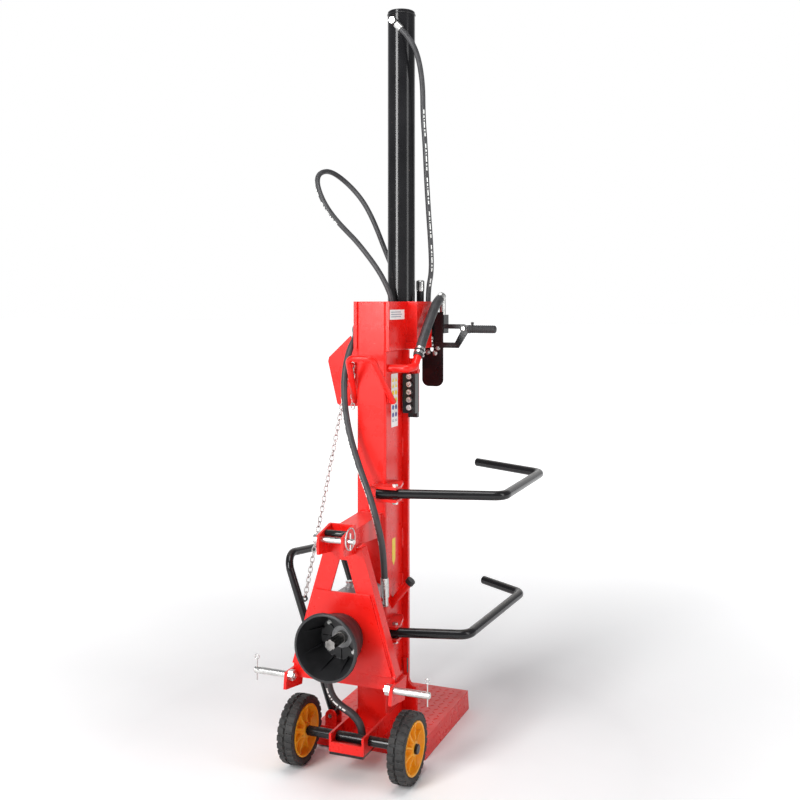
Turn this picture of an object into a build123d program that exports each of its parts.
from build123d import *
from math import cos, pi, radians, sin, tan
import os

# Upright tractor-mounted log splitter, millimetres. The origin is on the ground under the
# middle of the column. +Z is up, -Y is the tractor side, +Y the splitting side, +X the arm side.

# ---- driving dimensions ----
base_top = 73
base_x = (-210, 190)
base_wall = 6
column_w = 108
column_d = 150
column_rear = -column_d / 2
column_front = column_d / 2
column_wall = 6
head_top = 1541
head_bottom = 1373
head_cross = 1397
rail_w = 150
rail_t = 16
rail_front = column_front + rail_t
ram_y = 196
barrel_r = 50
bore_r = 43
rod_r = 25
barrel_top = 2588
blade_t = 25
carriage_half = 105
carriage_z = (1150, 1340)
running_gap = 0.5
pin_gap = 0.05
frame_rear = -295
frame_t = 8
pto_z = 470
pto_r = 17.45
lower_pin_z = 331
lower_pin_y = -322
lower_pin_r = 11
upper_pin_z = 791
upper_pin_y = -362
upper_pin_r = 9.5
axle_y = -224
axle_z = 114
wheel_r = 112.5
rim_r = 84
wheel_x = (166, 222)
axle_r = 10
arm_r = 16
arm_pivot = (97, -95)
upper_arm_z = 896
lower_arm_z = 431
pivot_r = 6
lifter_pivot = (-152, 108)
lifter_y = (-55, 345)
lifter_lean = 19.4
lifter_r = 14
lever_pivot = (226, 1443)
spool_x = 100
spool_y = 268
bolt_pitch = 27


def shortest_radii(points):
    """Arc radii for a polyline route: each takes 0.45 of the shorter run at its corner."""
    vectors = [Vector(*point) for point in points]
    radii = []
    for before, here, after in zip(vectors, vectors[1:], vectors[2:]):
        run_in = here - before
        run_out = after - here
        turn = radians(run_in.get_angle(run_out))
        radii.append(0.45 * min(run_in.length, run_out.length) / tan(turn / 2))
    return radii


def tube_along(points, radius, bore=0, radii=None):
    """A round bar, hose or tube swept along a route of straight runs joined by tangent arcs."""
    with BuildPart() as tube:
        with BuildLine() as route:
            FilletPolyline(*points, radius=radii or shortest_radii(points))
        with BuildSketch(Plane(origin=route.line @ 0, z_dir=route.line % 0)):
            Circle(radius)
            if bore:
                Circle(bore, mode=Mode.SUBTRACT)
        sweep(path=route.line)
    return tube


# ---- base and column ----
base_profile = [(-56, 0), (-30, base_top), (393, base_top), (405, 0)]
base_inside = [(-49, 0), (-26, base_top - base_wall), (387, base_top - base_wall), (398, 0)]
with BuildPart() as base_plate:
    with BuildSketch(Plane.YZ.offset(base_x[0])):
        Polygon(*base_profile, align=None)
    extrude(amount=base_x[1] - base_x[0])
    with BuildSketch(Plane.YZ.offset(base_x[0] + base_wall)):
        Polygon(*base_inside, align=None)
    extrude(amount=base_x[1] - base_x[0] - 2 * base_wall, mode=Mode.SUBTRACT)
    with BuildSketch(Plane.XY):
        with Locations(((base_x[0] + base_x[1]) / 2, (base_inside[0][0] + base_inside[3][0]) / 2)):
            Rectangle(base_x[1] - base_x[0] - 2 * base_wall, base_inside[3][0] - base_inside[0][0] - 6)
    extrude(amount=base_wall)

with BuildPart() as column:
    with BuildSketch(Plane.XY.offset(base_top)):
        RectangleRounded(column_w, column_d, 8)
    extrude(amount=head_top - base_top)
    with BuildSketch(Plane.XY.offset(base_top + column_wall)):
        RectangleRounded(column_w - 2 * column_wall, column_d - 2 * column_wall, 3)
    extrude(amount=head_top - base_top - 2 * column_wall, mode=Mode.SUBTRACT)

foot_half = 105
foot_top = 188
foot_fillet = 28
with BuildPart() as rail_plate:
    with BuildSketch(Plane.XZ.offset(-rail_front)) as rail_face:
        with Locations((0, (base_top + head_bottom - 1) / 2)):
            Rectangle(rail_w, head_bottom - 1 - base_top)
        with Locations((0, (base_top + foot_top) / 2)):
            Rectangle(2 * foot_half, foot_top - base_top)
        fillet(rail_face.vertices().group_by(Axis.Y)[1].sort_by(Axis.X)[1:-1], foot_fillet)
    extrude(amount=rail_t)
    with BuildSketch(Plane.XY.offset(238)):
        for side in (-1, 1):
            with Locations((side * 68, column_front - 5)):
                Rectangle(13, 10)
    extrude(amount=50)

# ---- head: side plates on the column, a step outwards, and a cross plate under the ram ----
head_side_t = 12
head_half = 105
head_front = 232
with BuildPart() as head_bracket:
    with BuildSketch(Plane.XY.offset(head_bottom)):
        for side in (-1, 1):
            with Locations((side * (column_w + head_side_t) / 2, 5)):
                Rectangle(head_side_t, 160)
            with Locations((side * (column_w / 2 + head_half) / 2, rail_front)):
                Rectangle(head_half - column_w / 2, head_side_t)
            with Locations((side * (head_half - 5), (rail_front + head_front) / 2)):
                Rectangle(10, head_front - rail_front)
    extrude(amount=head_top - head_bottom)
    with BuildSketch(Plane.XY.offset(head_bottom + 2)):
        with Locations((0, (column_front + 228) / 2)):
            Rectangle(2 * head_half - 20, 228 - column_front)
        with Locations((0, 240)):
            Rectangle(122, 36)
        with Locations((0, ram_y)):
            Circle(rod_r + 1, mode=Mode.SUBTRACT)
            with GridLocations(94, 94, 2, 2):
                Circle(pivot_r, mode=Mode.SUBTRACT)
    extrude(amount=head_cross - head_bottom - 2)

# ---- hydraulic ram ----
flange_half = 60
flange_t = 16
with BuildPart() as cylinder_barrel:
    with BuildSketch(Plane.XY.offset(head_cross)):
        with Locations((0, ram_y)):
            Circle(barrel_r)
    extrude(amount=barrel_top - head_cross)
    with BuildSketch(Plane.XY.offset(head_cross)):
        with Locations((0, ram_y)):
            RectangleRounded(2 * flange_half, 2 * flange_half, 8)
            with GridLocations(94, 94, 2, 2):
                Circle(pivot_r, mode=Mode.SUBTRACT)
    extrude(amount=flange_t)
    for port_z in (1470, 2548):
        with BuildSketch(Plane.XZ.offset(-(ram_y - barrel_r + 4))):
            with Locations((0, port_z)):
                Circle(12)
        extrude(amount=18)
    with BuildSketch(Plane.XY.offset(head_cross)):
        with Locations((0, ram_y)):
            Circle(bore_r)
    extrude(amount=barrel_top - head_cross, mode=Mode.SUBTRACT)
    with BuildSketch(Plane.XY.offset(barrel_top)):
        with Locations((0, ram_y)):
            Circle(barrel_r)
    extrude(amount=12)
    chamfer(cylinder_barrel.edges().group_by(Axis.Z)[-1], 3)

with BuildPart() as flange_bolts:
    with BuildSketch(Plane.XY.offset(head_bottom + 2)):
        with Locations((0, ram_y)):
            with GridLocations(94, 94, 2, 2):
                Circle(pivot_r)
    extrude(amount=head_cross - head_bottom - 2 + flange_t)
    with BuildSketch(Plane.XY.offset(head_cross + flange_t)):
        with Locations((0, ram_y)):
            with GridLocations(94, 94, 2, 2):
                RegularPolygon(8.5, 6)
    extrude(amount=8)

with BuildPart() as gland:
    with BuildSketch(Plane.XY.offset(head_cross)):
        with Locations((0, ram_y)):
            Circle(bore_r)
            Circle(rod_r + pin_gap, mode=Mode.SUBTRACT)
    extrude(amount=50)

piston_bottom = 2530
rod_bottom = 1297
rod_pin_z = 1315
rod_pin_r = 10
with BuildPart() as piston_rod:
    with BuildSketch(Plane.XY.offset(rod_bottom)):
        with Locations((0, ram_y)):
            Circle(rod_r)
    extrude(amount=piston_bottom - rod_bottom)
    with BuildSketch(Plane.XY.offset(piston_bottom)):
        with Locations((0, ram_y)):
            Circle(bore_r - pin_gap)
    extrude(amount=40)
    with BuildSketch(Plane.XY.offset(rod_bottom)):
        with Locations((0, ram_y)):
            Rectangle(blade_t, 2 * rod_r + 2)
    extrude(amount=38, mode=Mode.SUBTRACT)
    with BuildSketch(Plane.YZ.offset(-rod_r)):
        with Locations((ram_y, rod_pin_z)):
            Circle(rod_pin_r)
    extrude(amount=2 * rod_r, mode=Mode.SUBTRACT)

with BuildPart() as rod_pin:
    with BuildSketch(Plane.YZ.offset(-rod_r - 6)):
        with Locations((ram_y, rod_pin_z)):
            Circle(rod_pin_r)
    extrude(amount=2 * rod_r + 12)

# ---- carriage: slide plate, wedge, side spacers and the keepers behind the rail flanges ----
slide_rear = rail_front + running_gap
slide_front = slide_rear + 15.5
with BuildPart() as carriage_plate:
    with BuildSketch(Plane.XY.offset(carriage_z[0])):
        with Locations((0, (slide_rear + slide_front) / 2)):
            Rectangle(2 * carriage_half, slide_front - slide_rear)
    extrude(amount=carriage_z[1] - carriage_z[0])

edge_z = 1140
shoulder_z = 1180
wedge_front = 330
with BuildPart() as wedge:
    with BuildSketch(Plane.YZ.offset(-blade_t / 2)):
        Polygon(
            (slide_front, shoulder_z),
            (slide_front, 1333),
            (240, 1333),
            (wedge_front, 1250),
            (wedge_front, shoulder_z),
            align=None,
        )
    extrude(amount=blade_t)
    with BuildSketch(Plane.XZ.offset(-wedge_front)):
        Polygon((-blade_t / 2, shoulder_z), (0, edge_z), (blade_t / 2, shoulder_z), align=None)
    extrude(amount=wedge_front - slide_front)
    for side in (-1, 1):
        with BuildSketch(Plane.XZ.offset(-235)):
            Polygon(
                (side * blade_t / 2, 1190),
                (side * 58, 1282),
                (side * 58, 1292),
                (side * blade_t / 2, 1292),
                align=None,
            )
        extrude(amount=235 - slide_front)
    with BuildSketch(Plane.YZ.offset(-blade_t / 2)):
        with Locations((ram_y, rod_pin_z)):
            Circle(rod_pin_r)
    extrude(amount=blade_t, mode=Mode.SUBTRACT)

spacer_rear = column_front - running_gap
keeper_t = 20
keeper_in = 62
keeper_out = 110
gib_bolt_x = 90
gib_bolt_z = [1171 + bolt_pitch * step for step in range(5)]


def carriage_side(side):
    """The spacer with its keeper, and the five socket screws, on one side of the carriage."""
    with BuildPart() as spacer:
        with BuildSketch(Plane.XY.offset(1134)):
            with Locations((side * (rail_w / 2 + 1 + keeper_out) / 2, (spacer_rear + slide_rear) / 2)):
                Rectangle(keeper_out - rail_w / 2 - 1, slide_rear - spacer_rear)
        extrude(amount=154)
        for z in gib_bolt_z:
            with BuildSketch(Plane.XZ.offset(-slide_rear)):
                with Locations((side * gib_bolt_x, z)):
                    Circle(pivot_r)
            extrude(amount=slide_rear - spacer_rear, mode=Mode.SUBTRACT)
    with BuildPart() as keeper:
        with BuildSketch(Plane.XY.offset(1150)):
            with Locations((side * (keeper_in + keeper_out) / 2, spacer_rear - keeper_t / 2)):
                Rectangle(keeper_out - keeper_in, keeper_t)
        extrude(amount=138)
        for z in gib_bolt_z:
            with BuildSketch(Plane.XZ.offset(-spacer_rear)):
                with Locations((side * gib_bolt_x, z)):
                    Circle(pivot_r)
            extrude(amount=keeper_t, mode=Mode.SUBTRACT)
    with BuildPart() as screws:
        for z in gib_bolt_z:
            with BuildSketch(Plane.XZ.offset(-slide_rear)):
                with Locations((side * gib_bolt_x, z)):
                    Circle(pivot_r)
            extrude(amount=slide_rear - spacer_rear + keeper_t)
            with BuildSketch(Plane.XZ.offset(-(spacer_rear - keeper_t))):
                with Locations((side * gib_bolt_x, z)):
                    Circle(9.5)
            extrude(amount=11)
            with BuildSketch(Plane.XZ.offset(-(spacer_rear - keeper_t - 11))):
                with Locations((side * gib_bolt_x, z)):
                    RegularPolygon(5.5, 6)
            extrude(amount=-6, mode=Mode.SUBTRACT)
    with BuildPart() as pair:
        add(spacer.part)
        add(keeper.part)
    return pair, screws


keeper_left, screws_left = carriage_side(-1)
keeper_right, screws_right = carriage_side(1)
with BuildPart() as carriage_fasteners:
    for part_here in (screws_left, screws_right, rod_pin):
        add(part_here.part)

# ---- hitch: crossbar with ears, A-frame, brace, top-link clevis, pins ----
crossbar_z = (316, 360)
crossbar_rear = -293
crossbar_front = -232
ear_x = (179, 189)
with BuildPart() as hitch_crossbar:
    with BuildSketch(Plane.YZ.offset(-ear_x[0])):
        Polygon(
            (crossbar_rear, crossbar_z[0]),
            (crossbar_rear, crossbar_z[1]),
            (crossbar_front, crossbar_z[1]),
            (crossbar_front, crossbar_z[1] - 8),
            (crossbar_rear + 8, crossbar_z[1] - 8),
            (crossbar_rear + 8, crossbar_z[0] + 8),
            (crossbar_front, crossbar_z[0] + 8),
            (crossbar_front, crossbar_z[0]),
            align=None,
        )
    extrude(amount=2 * ear_x[0])
    for side in (-1, 1):
        with BuildSketch(Plane.YZ.offset(side * ear_x[0])):
            Polygon((-338, 343), (-346, 290), (-235, 270), (-217, 343), align=None)
        extrude(amount=side * (ear_x[1] - ear_x[0]))
        with BuildSketch(Plane.YZ.offset(side * ear_x[0])):
            with Locations((lower_pin_y, lower_pin_z)):
                Circle(9)
        extrude(amount=side * (ear_x[1] - ear_x[0]), mode=Mode.SUBTRACT)
        with BuildSketch(Plane.XY.offset(crossbar_z[0])):
            with Locations((side * 42, (crossbar_front + column_rear) / 2)):
                Rectangle(8, column_rear - crossbar_front)
        extrude(amount=crossbar_z[1] - crossbar_z[0])

frame_top = 755
frame_half_top = 65
frame_half_bottom = 184
frame_depth = 40
flange_lip = 8.4
with BuildPart() as a_frame:
    with BuildSketch(Plane.XZ.offset(-frame_rear)):
        Polygon(
            (-frame_half_top, frame_top),
            (frame_half_top, frame_top),
            (frame_half_bottom, crossbar_z[1]),
            (-frame_half_bottom, crossbar_z[1]),
            align=None,
        )
    extrude(amount=-frame_depth)
    with BuildSketch(Plane.XZ.offset(-frame_rear - frame_t)):
        Polygon(
            (-frame_half_top + flange_lip, frame_top),
            (frame_half_top - flange_lip, frame_top),
            (frame_half_bottom - flange_lip, crossbar_z[1]),
            (-frame_half_bottom + flange_lip, crossbar_z[1]),
            align=None,
        )
    extrude(amount=-(frame_depth - frame_t), mode=Mode.SUBTRACT)
    with BuildSketch(Plane.XZ.offset(-frame_rear)):
        Polygon((-14, 713), (14, 713), (115, 380), (-115, 380), align=None)
    extrude(amount=-frame_t, mode=Mode.SUBTRACT)

plate_t = 8
pump_plate_top = 611
with BuildPart() as pump_plate:
    with BuildSketch(Plane.XZ.offset(-frame_rear)):
        Polygon((-97, pump_plate_top), (97, pump_plate_top), (172, 362), (-172, 362), align=None)
        with Locations((0, pto_z)):
            Circle(47.5, mode=Mode.SUBTRACT)
    extrude(amount=plate_t)

brace_half = 42
with BuildPart() as brace:
    with BuildSketch(Plane.YZ.offset(-brace_half)):
        Polygon(
            (frame_rear, frame_top + 2),
            (frame_rear, 811),
            (column_rear, 824),
            (column_rear, 745),
            (-250, frame_top + 2),
            align=None,
        )
    extrude(amount=2 * brace_half)
    with BuildSketch(Plane.YZ.offset(-brace_half + 6)):
        Polygon((frame_rear, 740), (frame_rear, 805), (column_rear, 818), (column_rear, 740), align=None)
    extrude(amount=2 * brace_half - 12, mode=Mode.SUBTRACT)

clevis_half = 46
clevis_t = 8
with BuildPart() as top_link_clevis:
    with BuildSketch(Plane.XZ.offset(-frame_rear)):
        with Locations((0, 784)):
            Rectangle(2 * clevis_half, 92)
    extrude(amount=plate_t)
    for side in (-1, 1):
        with BuildSketch(Plane.YZ.offset(side * clevis_half)):
            Polygon((-390, 748), (-390, 808), (-303, 830), (-303, 738), align=None)
            with Locations((upper_pin_y, upper_pin_z)):
                Circle(upper_pin_r, mode=Mode.SUBTRACT)
        extrude(amount=-side * clevis_t)
    with BuildSketch(Plane.YZ.offset(-clevis_half + clevis_t)):
        with Locations((-341, 807)):
            Circle(8)
    extrude(amount=2 * (clevis_half - clevis_t))

linch_x = 57
with BuildPart() as top_link_pin:
    with BuildSketch(Plane.YZ.offset(-clevis_half - 6)):
        with Locations((upper_pin_y, upper_pin_z)):
            Circle(upper_pin_r)
    extrude(amount=clevis_half + 6 + 72)
    with BuildSketch(Plane.YZ.offset(-clevis_half - 6)):
        with Locations((upper_pin_y, upper_pin_z)):
            Circle(14)
    extrude(amount=-16)
    chamfer(top_link_pin.edges().group_by(Axis.X)[-1], 2)
    with BuildSketch(Plane.XY.offset(upper_pin_z - 12)):
        with Locations((linch_x, upper_pin_y)):
            Circle(3)
    extrude(amount=24, mode=Mode.SUBTRACT)

with BuildPart() as linch_clip:
    with BuildSketch(Plane.XY.offset(upper_pin_z - 26)):
        with Locations((linch_x, upper_pin_y)):
            Circle(3)
    extrude(amount=52)
    with Locations(Plane(origin=(linch_x, upper_pin_y, upper_pin_z + 8), z_dir=(1, 0, 0))):
        Torus(34, 2.2)

nut_t = 18
link_wall = 103
pin_end = 17
clip_x = 300
clip_r = 2
clip_gap = 0.3
clip_ring_r = 7


def lower_pin(side):
    """One lower link pin with a stepped end, its nut, and the spring clip that pulls up out of it."""
    with BuildPart() as pin:
        with BuildSketch(Plane.YZ.offset(side * ear_x[1])):
            with Locations((lower_pin_y, lower_pin_z)):
                Circle(lower_pin_r)
        extrude(amount=side * link_wall)
        with BuildSketch(Plane.YZ.offset(side * (ear_x[1] + link_wall))):
            with Locations((lower_pin_y, lower_pin_z)):
                Circle(lower_pin_r - 0.6)
        extrude(amount=side * pin_end)
        chamfer(pin.edges().group_by(Axis.X)[-1 if side > 0 else 0], 3)
        with BuildSketch(Plane.YZ.offset(side * ear_x[1])):
            with Locations((lower_pin_y, lower_pin_z)):
                Circle(9)
        extrude(amount=-side * (ear_x[1] - ear_x[0] + nut_t + 5))
        with BuildSketch(Plane.XY.offset(lower_pin_z - 14)):
            with Locations((side * clip_x, lower_pin_y)):
                Circle(clip_r + clip_gap)
        extrude(amount=28, mode=Mode.SUBTRACT)
    with BuildPart() as nut:
        with BuildSketch(Plane.YZ.offset(side * ear_x[0])):
            with Locations((lower_pin_y, lower_pin_z)):
                RegularPolygon(15, 6, major_radius=False)
                Circle(9, mode=Mode.SUBTRACT)
        extrude(amount=-side * nut_t)
    with BuildPart() as clip:
        with BuildSketch(Plane.XY.offset(lower_pin_z - 34)):
            with Locations((side * clip_x, lower_pin_y)):
                Circle(clip_r)
        extrude(amount=71)
        with Locations(Plane(origin=(side * clip_x, lower_pin_y, lower_pin_z + 43), z_dir=(0, 1, 0))):
            Torus(clip_ring_r, clip_r)
    return pin, nut, clip


lower_pin_left, pin_nut_left, clip_left = lower_pin(-1)
lower_pin_right, pin_nut_right, clip_right = lower_pin(1)
with BuildPart() as pin_hardware:
    for part_here in (linch_clip, pin_nut_left, pin_nut_right):
        add(part_here.part)

# ---- power take-off, gearbox, pump ----
guard_mouth = -425
rim_out = 107.4
guard_back = (-307, -303)
flange_out = 71
flange_gap = 0.2
with BuildPart() as pto_guard:
    with BuildSketch(Plane.YZ):
        Polygon(
            (guard_mouth, pto_z + rim_out),
            (guard_mouth + 14, pto_z + rim_out),
            (guard_mouth + 16, pto_z + 100),
            (guard_back[1], pto_z + 75),
            (guard_back[1], pto_z + flange_out),
            (guard_back[0], pto_z + flange_out),
            (guard_mouth + 14, pto_z + 96),
            (guard_mouth, pto_z + 99),
            align=None,
        )
    revolve(axis=Axis((0, 0, pto_z), (0, 1, 0)), revolution_arc=360)
    # the clamping flange inside the cone's small end, a ring of its own
    with BuildSketch(Plane.XZ.offset(-guard_back[0])):
        with Locations((0, pto_z)):
            Circle(flange_out - flange_gap)
            Circle(36, mode=Mode.SUBTRACT)
    extrude(amount=guard_back[0] - guard_back[1])

shaft_tip = -389
spline_end = -322
spline_count = 6
with BuildPart() as pto_shaft:
    with BuildSketch(Plane.XZ.offset(-spline_end)):
        with Locations((0, pto_z)):
            Circle(pto_r)
            with PolarLocations(pto_r, spline_count):
                Rectangle(5, 9, mode=Mode.SUBTRACT)
    extrude(amount=spline_end - shaft_tip)
    with BuildSketch(Plane.XZ.offset(-spline_end)):
        with Locations((0, pto_z)):
            Circle(20)
    extrude(amount=-92)

gear_top_z = 535
with BuildPart() as gearbox_housing:
    with BuildSketch(Plane.XZ.offset(287)):
        with Locations((0, pto_z)):
            Circle(72)
        with Locations((0, gear_top_z)):
            Circle(75)
        with Locations((0, (pto_z + gear_top_z) / 2)):
            Rectangle(144, gear_top_z - pto_z)
    extrude(amount=-82)
    with BuildSketch(Plane.XZ.offset(287)):
        with Locations((0, pto_z)):
            Circle(47.5)
        for side in (-1, 1):
            with Locations((side * 52, 425), (side * 52, 512)):
                Circle(9)
    extrude(amount=8)
    with BuildSketch(Plane.XZ.offset(295)):
        with Locations((0, pto_z)):
            Circle(47.5)
    extrude(amount=8)
    with BuildSketch(Plane.XY.offset(590)):
        with Locations((0, -246)):
            Circle(14)
    extrude(amount=27)
    with BuildSketch(Plane.XY.offset(617)):
        with Locations((0, -246)):
            RegularPolygon(10, 6, major_radius=False)
    extrude(amount=12)
    with BuildSketch(Plane.XZ.offset(303)):
        with Locations((0, pto_z)):
            Circle(20 + pin_gap)
    extrude(amount=-78, mode=Mode.SUBTRACT)

with BuildPart() as pump:
    with BuildSketch(Plane.XZ.offset(205)):
        with Locations((0, gear_top_z)):
            RectangleRounded(92, 112, 16)
    extrude(amount=-110)
    for side in (-1, 1):
        with BuildSketch(Plane.YZ.offset(side * 46)):
            with Locations((-133, gear_top_z - 2)):
                Circle(18)
        extrude(amount=side * 8)

# ---- wheels ----
bracket_rear = -272
bracket_bottom = 82
bracket_floor = 88
bracket_t = 8
with BuildPart() as wheel_bracket:
    for side in (-1, 1):
        with BuildSketch(Plane.YZ.offset(side * column_w / 2)):
            Polygon(
                (bracket_rear, bracket_bottom),
                (bracket_rear, 139),
                (-60, 140),
                (30, 146),
                (30, base_top),
                (-30, base_top),
                (-34, bracket_bottom),
                align=None,
            )
        extrude(amount=side * bracket_t)
    with BuildSketch(Plane.YZ.offset(-column_w / 2)):
        Polygon(
            (bracket_rear, bracket_bottom),
            (bracket_rear, 112),
            (bracket_rear + bracket_t, 112),
            (bracket_rear + bracket_t, bracket_floor),
            (column_rear, bracket_floor),
            (column_rear, bracket_bottom),
            align=None,
        )
    extrude(amount=column_w)
    with BuildSketch(Plane.YZ.offset(-70)):
        with Locations((axle_y, axle_z)):
            Circle(arm_r)
    extrude(amount=140, mode=Mode.SUBTRACT)
    with BuildSketch(Plane.XY.offset(bracket_bottom - bracket_t)):
        with Locations((0, bracket_rear + 48)):
            Rectangle(118, 96)
    extrude(amount=bracket_t)

with BuildPart() as axle:
    with BuildSketch(Plane.YZ.offset(-wheel_x[0] + 6)):
        with Locations((axle_y, axle_z)):
            Circle(arm_r)
    extrude(amount=2 * (wheel_x[0] - 6))
    with BuildSketch(Plane.YZ.offset(-wheel_x[1] - 2)):
        with Locations((axle_y, axle_z)):
            Circle(axle_r)
    extrude(amount=2 * (wheel_x[1] + 2))
    for side in (-1, 1):
        with BuildSketch(Plane.YZ.offset(side * (wheel_x[1] + 1))):
            with Locations((axle_y, axle_z)):
                Circle(16)
        extrude(amount=side * 9)
    fillet(axle.edges().group_by(Axis.X)[-1] + axle.edges().group_by(Axis.X)[0], 3)


def wheel(side):
    """One wheel: solid rubber tyre and ribbed plastic hub."""
    middle = side * (wheel_x[0] + wheel_x[1]) / 2
    width = wheel_x[1] - wheel_x[0]
    with BuildPart() as tyre:
        with BuildSketch(Plane.YZ.offset(middle)):
            with Locations((axle_y, axle_z)):
                Circle(wheel_r)
                Circle(rim_r, mode=Mode.SUBTRACT)
        extrude(amount=width / 2, both=True)
        outer = tyre.edges().filter_by(GeomType.CIRCLE)
        fillet([edge for edge in outer if edge.radius > wheel_r - 1], 11)
    with BuildPart() as hub:
        with BuildSketch(Plane.YZ.offset(middle)):
            with Locations((axle_y, axle_z)):
                Circle(rim_r)
                Circle(rim_r - 8, mode=Mode.SUBTRACT)
        extrude(amount=25, both=True)
        with BuildSketch(Plane.YZ.offset(middle)):
            with Locations((axle_y, axle_z)):
                Circle(rim_r - 4)
        extrude(amount=6, both=True)
        with BuildSketch(Plane.YZ.offset(middle)):
            with Locations((axle_y, axle_z)):
                Circle(24)
        extrude(amount=width / 2, both=True)
        with BuildSketch(Plane.YZ.offset(middle)):
            with Locations((axle_y, axle_z)):
                with PolarLocations(49, 8):
                    Rectangle(60, 6)
        extrude(amount=17, both=True)
        with BuildSketch(Plane.YZ.offset(middle)):
            with Locations((axle_y, axle_z)):
                Circle(axle_r + pin_gap)
        extrude(amount=width / 2, both=True, mode=Mode.SUBTRACT)
    return tyre, hub


tyre_left, hub_left = wheel(-1)
tyre_right, hub_right = wheel(1)

# ---- log lifter: folded mount, two clevises, bent tube frame, pivot pins ----
with BuildPart() as mount_box:
    with BuildSketch(Plane.YZ.offset(base_x[0])):
        Polygon((-84, 5), (-84, base_top), (-30, base_top), (-54.3, 5), align=None)
    extrude(amount=80)
    with BuildSketch(Plane.YZ.offset(base_x[0] + 6)):
        Polygon((-78, 5), (-78, base_top - 6), (-36, base_top - 6), (-58, 5), align=None)
    extrude(amount=68, mode=Mode.SUBTRACT)

lifter_x, lifter_z = lifter_pivot
ear_gap = 17
ear_t = 8


def lifter_clevis(y):
    """Two upright ears either side of the lifter's boss at y."""
    with BuildPart() as ears:
        for near in (y - ear_gap - ear_t, y + ear_gap):
            with BuildSketch(Plane.XZ.offset(-near)):
                with Locations((lifter_x, (base_top + lifter_z) / 2)):
                    Rectangle(40, lifter_z - base_top)
                with Locations((lifter_x, lifter_z)):
                    Circle(20)
                    Circle(7, mode=Mode.SUBTRACT)
            extrude(amount=-ear_t)
    return ears


rear_ears = lifter_clevis(lifter_y[0])
front_ears = lifter_clevis(lifter_y[1])
with BuildPart() as lifter_mount:
    for part_here in (mount_box, rear_ears, front_ears):
        add(part_here.part)

lean_x = -sin(radians(lifter_lean))
lean_z = cos(radians(lifter_lean))


def on_lifter(along, y):
    """A point of the lifter's leaning plane, so far from its pivot axis."""
    return (lifter_x + along * lean_x, y, lifter_z + along * lean_z)


lug = Vector(*on_lifter(402, lifter_y[0])) + Vector(lean_z, 0, -lean_x) * 22
lifter_route = [
    on_lifter(15, lifter_y[0]),
    on_lifter(570, lifter_y[0]),
    on_lifter(520, lifter_y[1]),
    on_lifter(15, lifter_y[1]),
]
lifter_tube = tube_along(lifter_route, lifter_r, lifter_r - 3, [55, 55])
with BuildPart() as lifter_frame:
    add(lifter_tube.part)
    for y in lifter_y:
        with BuildSketch(Plane.XZ.offset(-y)):
            with Locations((lifter_x, lifter_z)):
                Circle(17)
        extrude(amount=16, both=True)
        with BuildSketch(Plane.XZ.offset(-y)):
            with Locations((lifter_x, lifter_z)):
                Circle(7 + pin_gap)
        extrude(amount=16, both=True, mode=Mode.SUBTRACT)
    with BuildSketch(Plane.XZ.offset(3 - lug.Y)):
        with Locations((lug.X, lug.Z)):
            Circle(11)
            Circle(6, mode=Mode.SUBTRACT)
    extrude(amount=-6)

with BuildPart() as lifter_pins:
    for y in lifter_y:
        with BuildSketch(Plane.XZ.offset(-y)):
            with Locations((lifter_x, lifter_z)):
                Circle(7)
        extrude(amount=ear_gap + ear_t + 4, both=True)

# ---- log arms: brackets round the column's corner, vertical bolts, bent bars ----
plate_gap = 17


def arm_bracket(z):
    """Two plates round the column's rear corner, joined by a web on its side."""
    with BuildPart() as bracket:
        for low in (z - plate_gap - 8, z + plate_gap):
            with BuildSketch(Plane.XY.offset(low)):
                Polygon(
                    (8, -122),
                    (112, -122),
                    (112, -80),
                    (92, -10),
                    (78, 20),
                    (54, 20),
                    (54, column_rear),
                    (8, column_rear),
                    align=None,
                )
                with Locations(arm_pivot):
                    Circle(pivot_r, mode=Mode.SUBTRACT)
            extrude(amount=8)
        with BuildSketch(Plane.XY.offset(z - plate_gap)):
            with Locations((57, -20)):
                Rectangle(6, 76)
        extrude(amount=2 * plate_gap)
    return bracket


def arm_bolt(z):
    """The arm's vertical pivot bolt, with its head above and its nut below."""
    with BuildPart() as bolt:
        with BuildSketch(Plane.XY.offset(z - plate_gap - 14)):
            with Locations(arm_pivot):
                Circle(pivot_r)
        extrude(amount=2 * plate_gap + 28)
        with BuildSketch(Plane.XY.offset(z + plate_gap + 8)):
            with Locations(arm_pivot):
                RegularPolygon(9, 6, major_radius=False)
        extrude(amount=8)
        with BuildSketch(Plane.XY.offset(z - plate_gap - 18)):
            with Locations(arm_pivot):
                RegularPolygon(9, 6, major_radius=False)
        extrude(amount=10)
    return bolt


def log_arm(z, corner, far_corner, tip):
    """A bent bar that swings about the bracket's bolt; its tail reaches behind the column."""
    direction = (Vector(*corner) - Vector(*arm_pivot)).normalized()
    tail = Vector(*arm_pivot) - direction * 64
    points = [(tail.X, tail.Y, z), (*corner, z), (*far_corner, z), (*tip, z)]
    bar = tube_along(points, arm_r, arm_r - 4, [45, 45])
    with BuildPart() as arm:
        add(bar.part)
        with BuildSketch(Plane.XY.offset(z - arm_r)):
            with Locations(arm_pivot):
                Circle(11)
        extrude(amount=2 * arm_r)
        with BuildSketch(Plane.XY.offset(z - arm_r)):
            with Locations(arm_pivot):
                Circle(pivot_r + pin_gap)
        extrude(amount=2 * arm_r, mode=Mode.SUBTRACT)
    return arm


arm_bracket_upper = arm_bracket(upper_arm_z)
arm_bracket_lower = arm_bracket(lower_arm_z)
arm_bolt_upper = arm_bolt(upper_arm_z)
arm_bolt_lower = arm_bolt(lower_arm_z)
arm_upper = log_arm(upper_arm_z, (447, 2), (449, 480), (149, 636))
arm_lower = log_arm(lower_arm_z, (333, -30), (367, 499), (182, 618))

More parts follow.
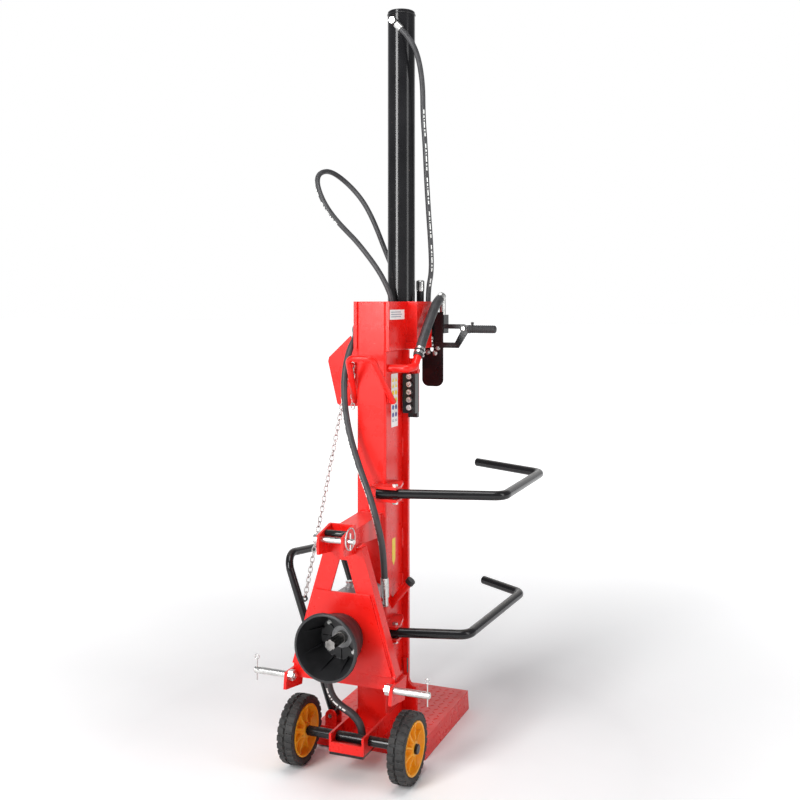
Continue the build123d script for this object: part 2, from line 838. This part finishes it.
# ---- handle, return pipe, filler, chain plate ----
handle_root = (72, -50, 1197)
handle_top = (45, -165, 1352)
handle_route = [
    (-handle_root[0], handle_root[1], handle_root[2]),
    (-handle_top[0], handle_top[1], handle_top[2]),
    handle_top,
    handle_root,
]
handle_tube = tube_along(handle_route, 10, 7.5, [26, 26])
with BuildPart() as lift_handle:
    add(handle_tube.part)
    for side in (-1, 1):
        with BuildSketch(Plane.XY.offset(1196)):
            with Locations((side * 59.5, -52)):
                Rectangle(11, 16)
        extrude(amount=20)

return_route = [(54, -44, 1313), (120, -44, 1313), (136, -16, 1318), (137, 10, 1352)]
hook = Vector(-91.7, 1323)
hook_reach = 50
return_pipe = tube_along(return_route, 13.5, 11, [20, 20])

neck_lean = Vector(0.64, 0, 0.768).normalized()
neck_base = Vector(40, -18, 487)
neck_length = 118
with BuildPart() as filler_neck:
    with BuildSketch(Plane(origin=neck_base, z_dir=neck_lean)):
        Circle(13)
    extrude(amount=neck_length)
    split(bisect_by=Plane.YZ.offset(column_w / 2), keep=Keep.TOP)

with BuildPart() as filler_cap:
    with BuildSketch(Plane(origin=neck_base + neck_lean * neck_length, z_dir=neck_lean)):
        Circle(16)
    extrude(amount=16)
    fillet(filler_cap.faces().sort_by(Axis(neck_base, neck_lean))[-1].edges(), 2)

with BuildPart() as tank_pipes:
    add(return_pipe.part)
    add(filler_neck.part)

plate_y = -14
with BuildPart() as chain_plate:
    with BuildSketch(Plane.XZ.offset(-plate_y)):
        Polygon(
            (-54, 1176),
            (-146, 1174),
            (-158, 1182),
            (-194, 1330),
            (-190, 1345),
            (-107, 1421),
            (-103, 1412),
            (-102, 1388),
            (-72, 1372),
            (-54, 1372),
            align=None,
        )
    extrude(amount=-6)
    with BuildSketch(Plane.XZ.offset(-plate_y)):
        with Locations(hook):
            Circle(4)
    extrude(amount=hook_reach)
    with BuildSketch(Plane.XZ.offset(-plate_y + hook_reach - 5)):
        with Locations(hook + Vector(0, 6)):
            Rectangle(8, 12)
    extrude(amount=5)

# ---- chain from the hook to the lifter's lug, and its free tail ----
ring_r = 9
wire_r = 2.2
ring_pitch = 2 * (ring_r - wire_r) - 0.3


def ring_run(start, end):
    """Interlinked rings from one point to another, each turned a quarter from the last."""
    run = end - start
    along = run.normalized()
    side = Vector(0, 1, 0).cross(along).normalized()
    front = along.cross(side)
    with BuildPart() as rings:
        for step in range(int(run.length / ring_pitch)):
            middle = start + along * (ring_pitch * (step + 0.5))
            with Locations(Plane(origin=middle, z_dir=side if step % 2 else front)):
                Torus(ring_r, wire_r)
    return rings


first_drop = ring_r - wire_r - 4 - 0.2
chain_top = Vector(hook.X, plate_y - 35, hook.Y - first_drop + ring_pitch / 2)
chain_end = lug + (chain_top - lug).normalized() * 16
chain = ring_run(chain_top, chain_end)
tail_top = Vector(hook.X, plate_y - 12, chain_top.Z)
chain_tail = ring_run(tail_top, tail_top + Vector(0, 0, -160))

# ---- control valve, guard plate, lever ----
shield_rear = 246
with BuildPart() as valve_shield:
    with BuildSketch(Plane.XZ.offset(-shield_rear)) as shield_face:
        with Locations((103, 1366)):
            Rectangle(82, 272)
        fillet(shield_face.vertices().group_by(Axis.Y)[0], 26)
        with Locations((spool_x, 1382)):
            SlotCenterToCenter(36, 13, rotation=90, mode=Mode.SUBTRACT)
    extrude(amount=-4)
    with BuildSketch(Plane.XZ.offset(-head_front)):
        with Locations((100, 1480), (100, 1430)):
            Circle(7)
    extrude(amount=-(shield_rear - head_front))

valve_y = (250, 300)
valve_z = (1424, 1492)
with BuildPart() as valve_body:
    with BuildSketch(Plane.XY.offset(valve_z[0])):
        with Locations((61, (valve_y[0] + valve_y[1]) / 2)):
            Rectangle(170, valve_y[1] - valve_y[0])
    extrude(amount=valve_z[1] - valve_z[0])
    with BuildSketch(Plane.XY.offset(valve_z[1])):
        with Locations((46, 268)):
            Circle(14)
    extrude(amount=86)
    with BuildSketch(Plane.XY.offset(1578)):
        with Locations((46, 268)):
            Circle(15)
    extrude(amount=40)
    fillet(valve_body.edges().group_by(Axis.Z)[-1], 7)
    with BuildSketch(Plane.XZ.offset(-valve_y[0])):
        with Locations(((146 + lever_pivot[0]) / 2, 1450)):
            Rectangle(lever_pivot[0] - 146, 17)
        with Locations(lever_pivot):
            Circle(13)
            Circle(5, mode=Mode.SUBTRACT)
    extrude(amount=-6)
    with BuildSketch(Plane.XY.offset(valve_z[0])):
        with Locations((spool_x, spool_y)):
            Circle(pivot_r + pin_gap)
    extrude(amount=52, mode=Mode.SUBTRACT)

crank_z = 1382
with BuildPart() as spool:
    with BuildSketch(Plane.XY.offset(crank_z - 8)):
        with Locations((spool_x, spool_y)):
            Circle(pivot_r)
    extrude(amount=72)
    with BuildSketch(Plane.XZ.offset(-spool_y)):
        with Locations((spool_x, crank_z)):
            Circle(4)
    extrude(amount=31)

lever_rear = 239
lever_t = 6.5
grip_start = 241
with BuildPart() as control_lever:
    with BuildSketch(Plane.XZ.offset(-lever_rear)):
        Polygon(
            (86, 1372),
            (86, 1392),
            (192, 1392),
            (214, 1432),
            (212, 1456),
            (grip_start, 1456),
            (grip_start, 1427),
            (206, 1372),
            align=None,
        )
        with Locations(lever_pivot):
            Circle(15)
            Circle(5 + pin_gap, mode=Mode.SUBTRACT)
        with Locations((spool_x, crank_z)):
            SlotCenterToCenter(17, 9.2, mode=Mode.SUBTRACT)
    extrude(amount=-lever_t)

with BuildPart() as lever_pivot_bolt:
    with BuildSketch(Plane.XZ.offset(-236)):
        with Locations(lever_pivot):
            Circle(5)
    extrude(amount=-26)
    with BuildSketch(Plane.XZ.offset(-238.5)):
        with Locations(lever_pivot):
            RegularPolygon(8, 6)
    extrude(amount=5)
    with BuildSketch(Plane.XZ.offset(-246)):
        with Locations(lever_pivot):
            Circle(9)
            Circle(5, mode=Mode.SUBTRACT)
    extrude(amount=-4)

grip_z = 1441
with BuildPart() as lever_grip:
    with BuildSketch(Plane.YZ.offset(grip_start)):
        with Locations((lever_rear + lever_t / 2, grip_z)):
            Circle(15.5)
    extrude(amount=106)
    fillet(lever_grip.edges().group_by(Axis.X)[-1], 4)
    with BuildSketch(Plane.XY.offset(grip_z + 12)):
        with Locations((grip_start + 17, lever_rear + lever_t / 2)):
            Circle(5)
    extrude(amount=14)

with BuildPart() as pivot_pins:
    for part_here in (arm_bolt_upper, arm_bolt_lower, lifter_pins, lever_pivot_bolt):
        add(part_here.part)

# ---- hoses and their fittings ----
hose_top_route = [
    (29, 122, 2517),
    (63, 128, 2480),
    (85, 150, 2419),
    (90, 180, 2327),
    (83, 200, 2215),
    (87, 212, 2108),
    (87, 225, 1993),
    (90, 238, 1869),
    (94, 252, 1745),
    (92, 265, 1650),
    (76, 272, 1587),
    (76, 272, 1532),
]
hose_loop_route = [
    (-2, 117, 1496),
    (-2, 117, 1542),
    (-22, 116, 1594),
    (-62, 117, 1662),
    (-138, 112, 1756),
    (-177, 95, 1799),
    (-214, 78, 1843),
    (-245, 68, 1889),
    (-270, 72, 1934),
    (-293, 93, 1978),
    (-304, 128, 2013),
    (-299, 175, 2030),
    (-288, 216, 2028),
    (-268, 253, 2008),
    (-236, 274, 1974),
    (-197, 276, 1930),
    (-164, 274, 1880),
    (-132, 270, 1818),
    (-94, 270, 1726),
    (-62, 273, 1652),
    (-24, 275, 1612),
    (-8, 275, 1578),
    (-8, 275, 1532),
]
hose_return_route = [
    (137, 10, 1352),
    (138, 36, 1386),
    (138, 66, 1418),
    (137, 100, 1450),
    (136, 138, 1483),
    (135, 174, 1512),
    (134, 206, 1536),
    (134, 236, 1549),
]
hose_pressure_route = [
    (-54, 275, 1458),
    (-104, 275, 1458),
    (-146, 247, 1457),
    (-164, 198, 1454),
    (-158, 140, 1449),
    (-134, 82, 1441),
    (-106, 28, 1431),
    (-84, -20, 1415),
    (-80, -76, 1378),
    (-81, -104, 1326),
    (-84, -114, 1265),
    (-78, -120, 1180),
    (-54, -128, 1082),
    (-12, -142, 982),
    (39, -168, 892),
    (74, -186, 806),
    (82, -160, 721),
    (80.5, -146.4, 626),
]
hose_suction_route = [
    (-60, -140, 470),
    (-86, -160, 415),
    (-102, -178, 362),
    (-109, -188, 308),
    (-104, -192, 258),
    (-86, -192, 218),
    (-54, -191, 195),
    (-21, -190, 180),
    (3, -190, 160),
    (17, -190, 136),
    (20, -190, 108),
]
hose_routes = {
    "hose_top": (hose_top_route, 9.5),
    "hose_loop": (hose_loop_route, 9.5),
    "hose_return": (hose_return_route, 17),
    "hose_pressure": (hose_pressure_route, 11),
    "hose_suction": (hose_suction_route, 13),
}
hoses = {}
for hose_name, (route_points, hose_radius) in hose_routes.items():
    arc_radii = shortest_radii(route_points)
    print(hose_name, "arc radii", [round(radius) for radius in arc_radii])
    hoses[hose_name] = tube_along(route_points, hose_radius, radii=arc_radii)
    swept = hoses[hose_name].part.volume / (pi * hose_radius**2)
    print(hose_name, "length by volume", round(swept))


def ferrule(route, radius, length):
    """A round crimped ferrule that meets the first end of a hose route and runs back from it."""
    outward = (Vector(*route[0]) - Vector(*route[1])).normalized()
    with BuildPart() as sleeve:
        with BuildSketch(Plane(origin=route[0], z_dir=outward)):
            Circle(radius)
        extrude(amount=length)
    return sleeve


def ram_port(port_z, route, sleeve_length):
    """A hexagon union on one of the ram's rear ports, with the ferrule of its hose."""
    sleeve = ferrule(route, 12, sleeve_length)
    with BuildPart() as union:
        add(sleeve.part)
        with BuildSketch(Plane.XZ.offset(barrel_r + 14 - ram_y)):
            with Locations((0, port_z)):
                RegularPolygon(13, 6)
        extrude(amount=28)
    return union


fitting_top = ram_port(2548, hose_top_route, 26)
fitting_bottom = ram_port(1470, hose_loop_route, 16)
with BuildPart() as ram_fittings:
    add(fitting_top.part)
    add(fitting_bottom.part)

hose_seat = 1532
return_seat = 62
return_sleeve = ferrule(hose_return_route[::-1], 15.5, 28)
with BuildPart() as return_elbow:
    add(return_sleeve.part)
    with BuildSketch(Plane.XY.offset(valve_z[1])):
        with Locations((134, 268)):
            Circle(12)
    extrude(amount=return_seat)
with BuildPart() as valve_fittings:
    add(return_elbow.part)
    for seat in ((76, 272), (-8, 275)):
        with BuildSketch(Plane.XY.offset(valve_z[1])):
            with Locations(seat):
                RegularPolygon(13, 6)
        extrude(amount=12)
        with BuildSketch(Plane.XY.offset(valve_z[1] + 12)):
            with Locations(seat):
                Circle(12)
        extrude(amount=hose_seat - valve_z[1] - 12)
    with BuildSketch(Plane.YZ.offset(-24)):
        with Locations((275, 1458)):
            Circle(13)
    extrude(amount=-30)

pump_port = Vector(79, -133, 533)
pump_sleeve = ferrule(hose_pressure_route[::-1], 13, 66)
with BuildPart() as fitting_pump:
    add(pump_sleeve.part)
    with BuildSketch(Plane.YZ.offset(54)):
        with Locations((pump_port.Y, pump_port.Z)):
            Circle(9)
    extrude(amount=pump_port.X - 54)
    with BuildSketch(Plane(origin=pump_port, z_dir=Vector(*hose_pressure_route[-1]) - pump_port)):
        Circle(9)
    extrude(amount=40)
    with Locations(pump_port):
        Sphere(9)

suction_sleeve = ferrule(hose_suction_route, 15, 30)
with BuildPart() as fitting_suction:
    add(suction_sleeve.part)
    with BuildSketch(Plane.YZ.offset(-54)):
        with Locations((-133, gear_top_z - 2)):
            Circle(15)
    extrude(amount=-14)
    with BuildSketch(Plane.XY.offset(488)):
        with Locations((-62, -133)):
            Circle(10)
    extrude(amount=40)
    split(bisect_by=Plane.YZ.offset(-54), keep=Keep.BOTTOM)

tank_sleeve = ferrule(hose_suction_route[::-1], 15, 50)
with BuildPart() as fitting_tank:
    add(tank_sleeve.part)
    split(bisect_by=Plane.XY.offset(bracket_floor), keep=Keep.TOP)
with BuildPart() as pump_fittings:
    for part_here in (fitting_pump, fitting_suction, fitting_tank):
        add(part_here.part)

# ---- export ----
pieces = {
    "base_plate": base_plate,
    "column": column,
    "rail_plate": rail_plate,
    "head_bracket": head_bracket,
    "cylinder_barrel": cylinder_barrel,
    "flange_bolts": flange_bolts,
    "gland": gland,
    "piston_rod": piston_rod,
    "carriage_plate": carriage_plate,
    "wedge": wedge,
    "keeper_left": keeper_left,
    "keeper_right": keeper_right,
    "carriage_fasteners": carriage_fasteners,
    "hitch_crossbar": hitch_crossbar,
    "a_frame": a_frame,
    "pump_plate": pump_plate,
    "brace": brace,
    "top_link_clevis": top_link_clevis,
    "top_link_pin": top_link_pin,
    "pin_hardware": pin_hardware,
    "clip_left": clip_left,
    "clip_right": clip_right,
    "lower_pin_left": lower_pin_left,
    "lower_pin_right": lower_pin_right,
    "pto_guard": pto_guard,
    "pto_shaft": pto_shaft,
    "gearbox_housing": gearbox_housing,
    "pump": pump,
    "wheel_bracket": wheel_bracket,
    "axle": axle,
    "tyre_left": tyre_left,
    "tyre_right": tyre_right,
    "hub_left": hub_left,
    "hub_right": hub_right,
    "lifter_mount": lifter_mount,
    "lifter_frame": lifter_frame,
    "pivot_pins": pivot_pins,
    "chain": chain,
    "chain_tail": chain_tail,
    "chain_plate": chain_plate,
    "arm_bracket_upper": arm_bracket_upper,
    "arm_bracket_lower": arm_bracket_lower,
    "arm_upper": arm_upper,
    "arm_lower": arm_lower,
    "lift_handle": lift_handle,
    "tank_pipes": tank_pipes,
    "filler_cap": filler_cap,
    "valve_shield": valve_shield,
    "valve_body": valve_body,
    "spool": spool,
    "control_lever": control_lever,
    "lever_grip": lever_grip,
    "ram_fittings": ram_fittings,
    "valve_fittings": valve_fittings,
    "pump_fittings": pump_fittings,
    **hoses,
}
os.makedirs("parts", exist_ok=True)
for piece_name, piece in pieces.items():
    piece.part.label = piece_name
    export_step(piece.part, f"parts/{piece_name}.step")
print(len(pieces), "nodes")
